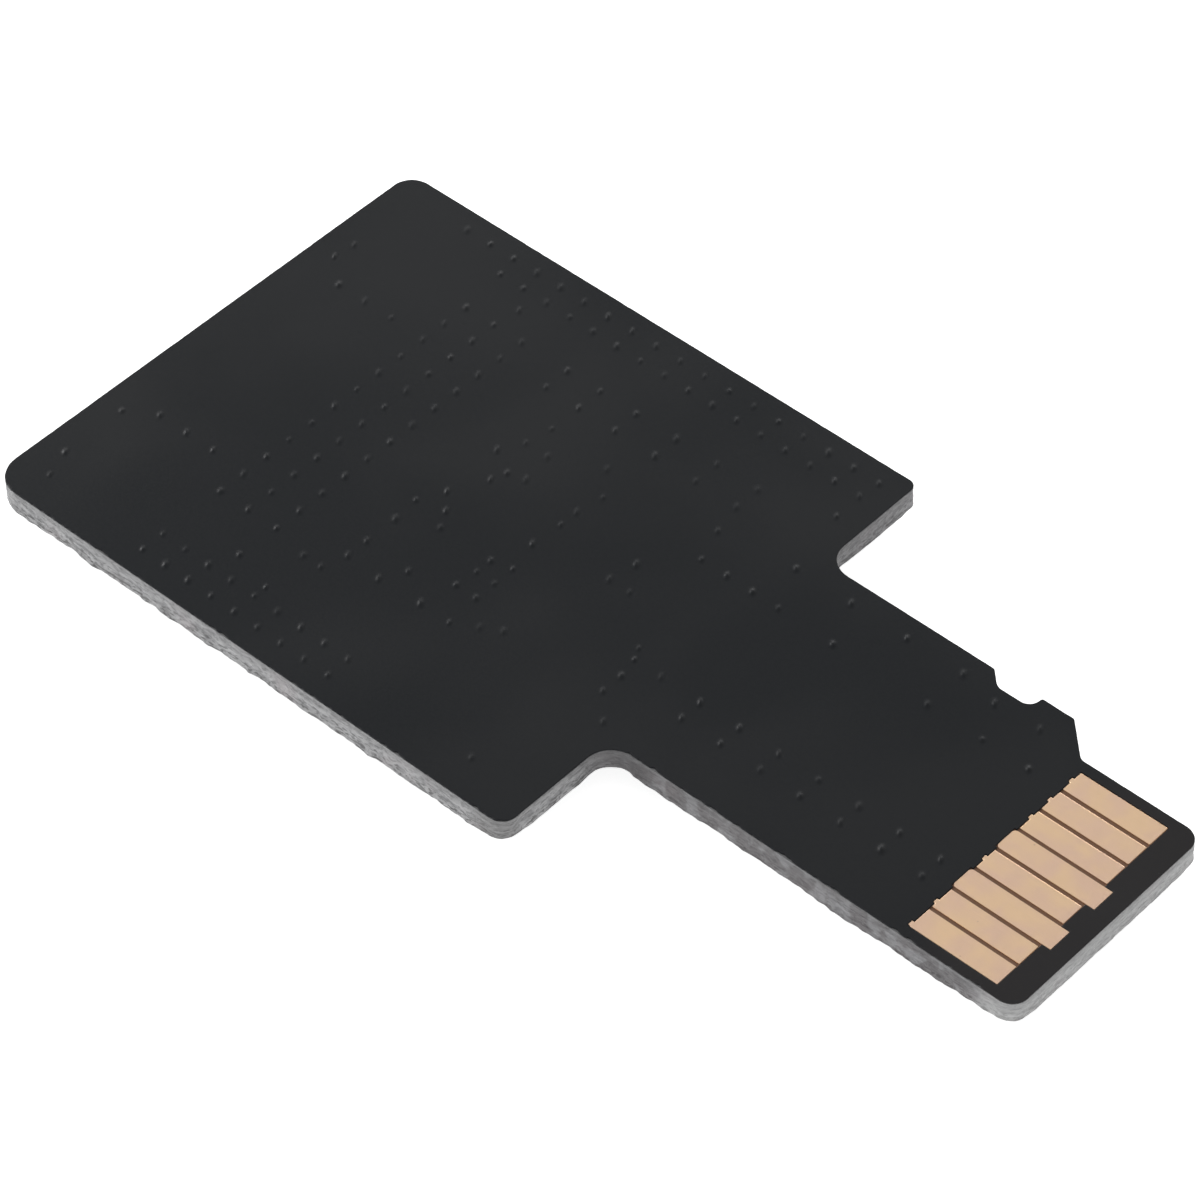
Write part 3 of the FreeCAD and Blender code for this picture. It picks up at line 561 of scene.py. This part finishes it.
LAMINATE_LOW, LAMINATE_HIGH = (corner.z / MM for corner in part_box("circuit_board"))
MASK_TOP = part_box("contact_side_mask")[1].z / MM
MASK_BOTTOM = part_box("component_side_mask")[0].z / MM
CUT_STEP = 0.07  # spacing of the corners along the cut
CUT_ROWS = 12  # and how many bands of faces it has from top to foot
SIDE_LEAN = 0.07  # how far the foot of the cut stands out along the straight sides
CORNER_LEAN = -0.075  # and how far it goes in round the corners
EASE = 0.7  # reach over which straightness and wear go over into their neighbours'


def cut_depth(length, straight, wear, height):
    """How far the cut surface stands out at a place along the edge, height 0 at its foot.
    Each noise has its own place in space, so they don't follow each other."""
    foot = (1 - height) ** 1.6
    lean = (SIDE_LEAN * straight + CORNER_LEAN * (1 - straight)) * foot
    slow = noise.noise(Vector((length * 0.45, 3.1, 0.0))) * 0.050
    ripple = noise.noise(Vector((length * 1.3, 5.9, 0.0))) * 0.045 * foot
    tears = noise.noise(Vector((length * 3.1, 7.7, height * 1.5))) * 0.034 * foot ** 2
    bundles = noise.noise(Vector((length * 0.9, height * 4.5, 1.7))) * 0.022
    lumps = noise.noise(Vector((length * 2.4, height * 4.0, 9.2))) * 0.026
    chips = noise.noise(Vector((length * 6.0, height * 7.0, 4.4))) * 0.014
    calm = 1 - height ** 6
    return lean + wear * ((slow + ripple + tears) * foot + (bundles + lumps + chips) * calm)


def eased(values, reach):
    """Values along the outline, each the mean of those within a reach in millimetres."""
    means = []
    for here in LENGTHS[:-1]:
        near = [
            value for there, value in zip(LENGTHS, values)
            if abs((there - here + ROUND / 2) % ROUND - ROUND / 2) <= reach
        ]
        means.append(sum(near) / len(near))
    return means


# The cut's outline: points, outward directions, lengths along it, and for each point how
# straight the edge is and how worn; the long sides are worn most
OUTLINE = divided(face_loops("circuit_board", LAMINATE_HIGH)[0], CUT_STEP)
OUTWARD = outward(OUTLINE)
LENGTHS = [0.0]
for here, there in zip(OUTLINE, OUTLINE[1:] + OUTLINE[:1]):
    LENGTHS.append(LENGTHS[-1] + math.dist(here, there))
ROUND = LENGTHS[-1]
STRAIGHT = eased([max(abs(way.x), abs(way.y)) ** 8 for way in OUTWARD], EASE)
WEAR = eased([0.35 + 0.65 * abs(way.y) ** 8 for way in OUTWARD], EASE)

# Burrs at the foot of the cut: place, width and how far out each stands, in millimetres
BURRS = (
    ((-15.2, -10.35), 0.20, 0.05),
    ((-7.9, -10.35), 0.16, 0.04),
    ((-2.4, -10.35), 0.22, 0.07),
    ((4.5, -5.5), 0.14, 0.10),
    ((13.2, -5.4), 1.50, 0.08),
)


def burr(point):
    """How far the burrs stand out at a point of the outline."""
    return sum(out * math.exp(-(math.dist(point, place) / wide) ** 2) for place, wide, out in BURRS)


def cut_ring(height):
    """The points of the cut's outline at a height between 0 and 1."""
    foot = (1 - height) ** 2
    depths = [
        cut_depth(length, straight, wear, height) + burr(p) * foot
        for p, length, straight, wear in zip(OUTLINE, LENGTHS, STRAIGHT, WEAR)
    ]
    return [(p[0] + n.x * depth, p[1] + n.y * depth) for p, n, depth in zip(OUTLINE, OUTWARD, depths)]


BORDER_STEP = 0.06  # spacing of the corners along the upper mask's border
CHIP_DEPTH = 0.095
TORN_BACK = 0.055  # how far the lower mask is torn back from the cut's foot
TORN_CHANGE = 0.05  # and how much more or less from place to place
TORN_STEP = 0.012  # least way along the border from one of its corners to the next


def chip(point, way):
    """How deep the mask's border is chipped; most of all on the near long sides."""
    x, y = point
    wide = max(0.0, noise.noise(Vector((x * 2.7, y * 2.7, 4.4))) - 0.05)
    small = max(0.0, noise.noise(Vector((x * 5.5, y * 5.5, 7.4))) + 0.05)
    return (wide + 0.8 * small) * CHIP_DEPTH * (0.12 + 0.88 * max(0.0, -way.y) ** 2)


def chipped(loop):
    """A mask's border with small chips along it."""
    chips = [(p, n, chip(p, n)) for p, n in zip(loop, outward(loop))]
    return [(p[0] - n.x * depth, p[1] - n.y * depth) for p, n, depth in chips]


def torn_ring():
    """The lower mask's outline: the foot of the cut, torn back a little in most places.
    Points that would fold back over their neighbours are left out."""
    ring = []
    for p, n, length in zip(cut_ring(0.0), OUTWARD, LENGTHS):
        back = TORN_BACK + TORN_CHANGE * noise.noise(Vector((length * 0.8, 21.3, 0.0)))
        ring.append(((p[0] - n.x * back, p[1] - n.y * back), n))
    while True:
        kept = [
            (p, n) for (before, _), (p, n) in zip(ring[-1:] + ring[:-1], ring)
            if (p[1] - before[1]) * n.x - (p[0] - before[0]) * n.y > TORN_STEP
        ]
        if len(kept) == len(ring):
            return [p for p, _ in ring]
        ring = kept


def cut_laminate():
    """The laminate, its rough cut built up in rings from the top down to the foot."""
    shell = Shell()
    thickness = LAMINATE_HIGH - LAMINATE_LOW
    rings = []
    for row in range(CUT_ROWS + 1):
        share = 1 - row / CUT_ROWS
        z = LAMINATE_LOW + share * thickness
        rings.append((shell.add([(x, y, z) for x, y in cut_ring(share)]), share * thickness))
    for (upper, high), (lower, low) in zip(rings, rings[1:]):
        shell.band(lower, upper, 0, LENGTHS, (low, high))
    for ring, upward in ((rings[0][0], True), (rings[-1][0], False)):
        points = [shell.corners[i][:2] for i in ring]
        for triangle in fill([points])[1]:
            corners = tuple(ring[i] for i in triangle)
            shell.face(corners if upward else corners[::-1], 1)
    return shell.piece("cut_laminate", [CUT_EDGE, LAMINATE], "circuit_board")


# Solder masks with tented vias

VIA_REACH = 0.29  # how far a via's resin spreads round its middle
VIA_SIDES = 24
VIA_RINGS = 10
VIA_SHARE = 0.46  # share of the way to the next via that a via's circle may take
VIA_CLEAR = 1.5 * VIA_REACH  # how far the mask's loose corners keep from a via
OPENING_CLEAR = 0.2  # and from an opening
PAD_CLEAR = 1.3 * VIA_REACH  # how far a via's relief keeps from the openings for pads
# Ranges of a via's ridge: how high it stands, half its width and length, and how deep the
# hollow beside it is
SWELL = (0.0165, 0.029)
WIDE = (0.075, 0.102)
LONG = (0.13, 0.195)
HOLLOW = (0.0, 0.005)
PULL = (-0.55, 0.835)  # the resin was wiped across the vias and stands in short ridges this way
MOUTH_SIDES = 8  # the solids' dimples are eight-sided
RIM = 0.018  # radius of a mask's rounded rim
RIM_ANGLES = (30, 60, 90)
GRID = 0.55  # spacing of the loose corners in a mask's flat face
WINDOW_STEP = 0.25  # spacing of the corners round the contacts' window
PAD_OPENING_STEP = 0.4  # and round the openings for pads


def via_places():
    """The middles of the dimples in the contact side's mask."""
    mouths = [loop for loop in UPPER_LOOPS[1:] if len(loop) == MOUTH_SIDES]
    return sorted(
        (sum(p[0] for p in loop) / MOUTH_SIDES, sum(p[1] for p in loop) / MOUTH_SIDES) for loop in mouths)


def via_relief(x, y, radius, relief):
    """Height of the resin over a plated hole: a short ridge with a shallow hollow beside it."""
    swell, wide, long, hollow = relief
    along = x * PULL[0] + y * PULL[1]
    across = x * PULL[1] - y * PULL[0]
    edge = max(0.0, 1 - (math.hypot(x, y) / radius) ** 4)
    ridge = math.exp(-((across + 0.02) / wide) ** 2 - (along / long) ** 2)
    dip = math.exp(-((across - 0.10) / wide) ** 2 - (along / long) ** 2)
    return (swell * ridge - hollow * dip) * edge


def via_circles(vias, chance):
    """Each via's circle in the mask's face, and the relief within it."""
    circles, reliefs = [], []
    for x, y in vias:
        room = min(math.dist((x, y), other) for other in vias if other != (x, y))
        radius = min(VIA_REACH * chance.uniform(0.88, 1.08), VIA_SHARE * room)
        turn = chance.uniform(0, math.tau)
        angles = [turn + math.tau * i / VIA_SIDES for i in range(VIA_SIDES)]
        circles.append([(x + radius * math.cos(angle), y + radius * math.sin(angle)) for angle in angles])
        size = radius / VIA_REACH
        stand = size * (1.02 + 0.40 * min(1.0, max(0.0, (x + 2.0) / 9.0)))  # more resin in the tongue
        swell = stand * chance.uniform(*SWELL)
        wide = size * chance.uniform(*WIDE)
        long = size * chance.uniform(*LONG)
        hollow = size * chance.uniform(*HOLLOW)
        reliefs.append((x, y, radius, (swell, wide, long, hollow)))
    return circles, reliefs


def loose_corners(inner, holes, vias):
    """Corners for the flat part of a mask's face, clear of its vias and openings."""
    low_x, low_y = (min(p[axis] for p in inner) for axis in (0, 1))
    high_x, high_y = (max(p[axis] for p in inner) for axis in (0, 1))
    closed = [offset(hole, OPENING_CLEAR) for hole in holes]
    near = {}
    for x, y in vias:
        near.setdefault((round(x), round(y)), []).append((x, y))
    loose = []
    for i in range(int((high_x - low_x) / GRID)):
        for j in range(int((high_y - low_y) / GRID)):
            p = (low_x + (i + 0.5) * GRID, low_y + (j + 0.5) * GRID)
            around = [v for a in (-1, 0, 1) for b in (-1, 0, 1)
                      for v in near.get((round(p[0]) + a, round(p[1]) + b), [])]
            if any(math.dist(p, v) < VIA_CLEAR for v in around):
                continue
            if inside(p, inner) and not any(inside(p, hole) for hole in closed):
                loose.append(p)
    return loose


def raise_via(shell, ring, circle, via, face_z, up):
    """The rings of corners inside a via's circle, at the height of its resin."""
    x, y, radius, relief = via
    for step in range(1, VIA_RINGS):
        reach = 1 - step / VIA_RINGS
        steps = [((p[0] - x) * reach, (p[1] - y) * reach) for p in circle]
        following = shell.add([
            (x + a, y + b, face_z + up * via_relief(a, b, radius, relief)) for a, b in steps])
        shell.band(*((ring, following) if up > 0 else (following, ring)))
        ring = following
    tip = shell.add([(x, y, face_z + up * via_relief(0, 0, radius, relief))])[0]
    for i in range(VIA_SIDES):
        corner = (ring[i], ring[(i + 1) % VIA_SIDES], tip)
        shell.face(corner if up > 0 else corner[::-1])


def round_rim(shell, ring, at_face, border, levels, way):
    """A mask's rounded rim from its face to its back; gives the corners on the back. The way
    is 1 for a rim with its outer side on the left of its run, and -1 for the other."""
    face_z, back_z = levels
    up = 1 if face_z > back_z else -1
    for angle in RIM_ANGLES:
        out, down = math.sin(math.radians(angle)), 1 - math.cos(math.radians(angle))
        lower = shell.add([
            (a[0] + (b[0] - a[0]) * out, a[1] + (b[1] - a[1]) * out, face_z - up * RIM * down)
            for a, b in zip(at_face, border)])
        shell.band(*((lower, ring) if way > 0 else (ring, lower)))
        ring = lower
    back = shell.add([(x, y, back_z) for x, y in border])
    shell.band(*((back, ring) if way > 0 else (ring, back)))
    return back


def mask_plate(name, material, node, outer, holes, vias, levels, seed):
    """A mask: a closed plate with a soft rim, openings and the relief of its vias. Levels are
    the heights of its face and of its back on the laminate."""
    face_z, back_z = levels
    up = 1 if face_z > back_z else -1
    shell = Shell()
    inner = offset(outer, -RIM)
    hole_faces = [offset(hole, RIM) for hole in holes]
    circles, reliefs = via_circles(vias, random.Random(seed))
    loops = [inner] + hole_faces + circles
    points, triangles = fill(loops, loose_corners(inner, holes, vias))
    face = shell.add([(x, y, face_z) for x, y in points])
    for triangle in triangles:
        shell.face(facing(tuple(face[i] for i in triangle), shell.corners, up))
    rings, start = [], 0
    for loop in loops:
        rings.append(face[start:start + len(loop)])
        start += len(loop)
    for ring, circle, via in zip(rings[1 + len(holes):], circles, reliefs):
        raise_via(shell, ring, circle, via, face_z, up)
    backs = round_rim(shell, rings[0], inner, outer, levels, up)
    for ring, hole_face, hole in zip(rings[1:], hole_faces, holes):
        backs += round_rim(shell, ring, hole_face, hole, levels, -up)
    curved = range(len(triangles), len(shell.faces))
    for triangle in fill([outer] + holes)[1]:
        shell.face(facing(tuple(backs[i] for i in triangle), shell.corners, -up))
    made = shell.piece(name, [material], node)
    made.data.polygons.foreach_set("use_smooth", [i in curved for i in range(len(shell.faces))])
    made.data.update()


def clear_of(openings, place):
    """Whether a via's relief keeps clear of every opening of the lower mask."""
    return not any(inside(place, offset(loop, PAD_CLEAR)) for loop in openings)


cut_laminate()

UPPER_LOOPS = face_loops("contact_side_mask", MASK_TOP)
VIAS = via_places()
window = next(loop for loop in UPPER_LOOPS[1:] if len(loop) > MOUTH_SIDES)
mask_plate("upper_mask", UPPER_MASK, "contact_side_mask", chipped(divided(UPPER_LOOPS[0], BORDER_STEP)),
           [divided(window, WINDOW_STEP)], VIAS, (MASK_TOP, LAMINATE_HIGH), seed=11)

LOWER_LOOPS = face_loops("component_side_mask", MASK_BOTTOM)
openings = [divided(loop, PAD_OPENING_STEP) for loop in LOWER_LOOPS[1:]]
mask_plate("lower_mask", LOWER_MASK, "component_side_mask", torn_ring(), openings,
           [via for via in VIAS if clear_of(openings, via)], (MASK_BOTTOM, LAMINATE_LOW), seed=12)


# Solder

FILLET_STEPS = 7
# Where a fillet's cross sections lie across its width, and how hollow each is
FILLET_SECTIONS = ((0.0, 2.6), (0.12, 1.9), (0.5, 1.5), (0.88, 1.9), (1.0, 2.6))


def wedge_places(corners):
    """Width, wall, toe and tip of one sloping wedge of solder, from its six corners."""
    def spans(axis):
        values = sorted(round(corner[axis], 4) for corner in corners)
        return values[0], values[-1], values.count(values[0])

    width = 0 if spans(0)[2] == 3 else 1
    low, high, _ = spans(width)
    least, most, count = spans(1 - width)
    wall, toe = (least, most) if count == 4 else (most, least)
    tip, pad, _ = spans(2)
    return width, low, high, wall, toe, tip, pad


def fillets(name, node):
    """The solder of one node: each wedge with a hollow slope and hollow ends, as molten solder
    leaves it between a pad and a plated face."""
    shell = Shell()
    for corners in lumps(node):
        width, low, high, wall, toe, tip, pad = wedge_places(corners)
        rings = []
        for across, hollow in FILLET_SECTIONS:
            profile = [(wall, pad)]
            for step in range(FILLET_STEPS + 1):
                share = step / FILLET_STEPS
                out, up = (1 - share) ** hollow, share ** hollow
                profile.append((wall + (toe - wall) * out, pad + (tip - pad) * up))
            place = low + (high - low) * across
            rings.append(shell.add([
                (place, out, z) if width == 0 else (out, place, z) for out, z in profile]))
        first = len(shell.faces)
        for ring, following in zip(rings, rings[1:]):
            shell.band(ring, following)
        shell.face(tuple(rings[0][::-1]))
        shell.face(tuple(rings[-1]))
        if shell.volume(first) < 0:
            shell.faces[first:] = [face[::-1] for face in shell.faces[first:]]
    made = shell.piece(name, [SOLDER], node)
    made.data.polygons.foreach_set("use_smooth", [len(face) == 4 for face in shell.faces])


fillets("chip_fillets", "chip_solder")
fillets("front_socket_fillets", "front_socket_solder")
fillets("rear_socket_fillets", "rear_socket_solder")


# Finishes of the other solids

SHARP = 35  # an edge with at least this angle, in degrees, is rounded


def dress(node, material, width=0.0):
    """Give a solid its finish, and round its sharp edges by a width in millimetres."""
    solid = NODES[node]
    solid.data.materials.clear()
    solid.data.materials.append(material)
    if width:
        weld = solid.modifiers.new("joined", "WELD")
        weld.merge_threshold = 1e-7
        bevel = solid.modifiers.new("soft_edges", "BEVEL")
        bevel.width = width * MM
        bevel.segments = 2
        bevel.limit_method = "ANGLE"
        bevel.angle_limit = math.radians(SHARP)


RESISTOR = resistor_body(min(corner.z for corner in welded("pull_up_command")[0]))
for node in NODES:
    if node in ("circuit_board", "contact_side_mask", "component_side_mask"):
        continue
    if node.endswith("_solder"):
        continue
    if node.startswith("contact_"):
        dress(node, GOLD, 0.026)
    elif node.endswith("_housing"):
        dress(node, PLASTIC, 0.03)
    elif node.endswith("_leads"):
        dress(node, SPRING, 0.014)
    elif node.endswith("_hold_downs"):
        dress(node, TINNED, 0.014)
    elif node.endswith("_pads"):
        dress(node, PAD, 0.006)
    elif node.endswith("_ends"):
        dress(node, TINNED, 0.008)
    elif "capacitor" in node:
        dress(node, CERAMIC)
    else:
        dress(node, RESISTOR)


# Floor, light and camera

HALF_FLOOR = 3.0
FLOOR_GLOW = 0.85  # the paper is lit from below as well, so shadows stay faint
SKY = 0.49
LIGHTS = (  # name, place and size in metres, brightness
    ("back_left_light", (-0.62, 0.12, 0.36), (0.20, 0.20), 14.0),
    ("far_light", (-0.40, 0.66, 0.17), (0.60, 0.20), 3.9),
    ("left_light", (-0.42, -0.34, 0.30), (0.30, 0.30), 3.0),
)


def floor():
    """A sheet of white paper under the board."""
    mesh = bpy.data.meshes.new("floor")
    corners = [(HALF_FLOOR * x, HALF_FLOOR * y, 0) for x, y in ((-1, -1), (1, -1), (1, 1), (-1, 1))]
    mesh.from_pydata(corners, [], [(0, 1, 2, 3)])
    made = bpy.data.objects.new("floor", mesh)
    bpy.context.scene.collection.objects.link(made)
    paper = Finish("white_paper", roughness=0.8)
    paper.colour((0.93, 0.93, 0.93))
    paper.shader.inputs["Emission Color"].default_value = (1, 1, 1, 1)
    paper.shader.inputs["Emission Strength"].default_value = FLOOR_GLOW
    mesh.materials.append(paper.material)


def softbox(name, place, size, brightness):
    """A soft light that faces the board; brightness is its radiance."""
    lamp = bpy.data.lights.new(name, "AREA")
    lamp.shape = "RECTANGLE"
    lamp.size, lamp.size_y = size
    lamp.energy = brightness * math.pi * size[0] * size[1]
    made = bpy.data.objects.new(name, lamp)
    made.location = place
    made.rotation_mode = "QUATERNION"
    made.rotation_quaternion = Vector(place).to_track_quat("Z", "Y")
    bpy.context.scene.collection.objects.link(made)


CAMERA_PLACE = (0.07900, -0.09134, 0.12811)
CAMERA_RIGHT = Vector((0.7454, 0.6666, 0.0054))
CAMERA_UP = Vector((-0.4845, 0.5361, 0.6913))
CAMERA_LENS = 158.64


def camera():
    """The camera, far off with a long lens, as the photograph was taken."""
    data = bpy.data.cameras.new("camera")
    data.lens = CAMERA_LENS
    data.sensor_width = 36
    data.clip_start = 0.005
    data.clip_end = 10
    made = bpy.data.objects.new("camera", data)
    bpy.context.scene.collection.objects.link(made)
    right = CAMERA_RIGHT.normalized()
    back = right.cross(CAMERA_UP).normalized()
    up = back.cross(right)
    turn = Matrix((right, up, back)).transposed().to_4x4()
    made.matrix_world = Matrix.Translation(CAMERA_PLACE) @ turn
    bpy.context.scene.camera = made


floor()
for light in LIGHTS:
    softbox(*light)
world = bpy.data.worlds.new("studio")
world.use_nodes = True
sky = world.node_tree.nodes["Background"]
sky.inputs["Color"].default_value = (1, 1, 1, 1)
sky.inputs["Strength"].default_value = SKY
bpy.context.scene.world = world
bpy.context.scene.view_settings.view_transform = "Standard"
camera()
